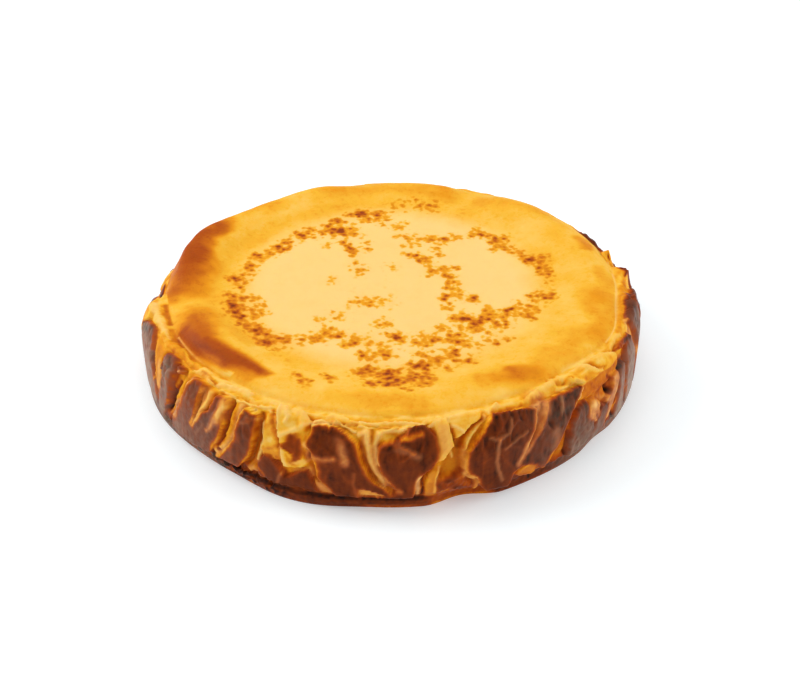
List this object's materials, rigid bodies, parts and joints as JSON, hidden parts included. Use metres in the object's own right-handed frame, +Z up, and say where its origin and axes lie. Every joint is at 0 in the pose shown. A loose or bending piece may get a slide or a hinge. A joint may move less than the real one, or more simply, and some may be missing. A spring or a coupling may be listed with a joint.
{
  "type": "creamy cheesecake",
  "caption": "Whole round baked cheesecake with a puffed golden ring, a sunken speckled middle and a side browned and creased by baking paper.",
  "frame": {"origin": "middle of the flat underside", "axes": "+Z up out of the top, -Y towards the side shown at the front of the picture, +X to its right"},
  "size_m": [0.2388, 0.2396, 0.0455],
  "materials": {
    "baked_cheesecake": "moist baked cheese custard: pale yellow in the middle, golden to orange on the ring, dark brown on the pressed parts of the side, satin"
  },
  "bodies": {
    "root": {"cheesecake": "baked_cheesecake"}
  },
  "joints": []
}
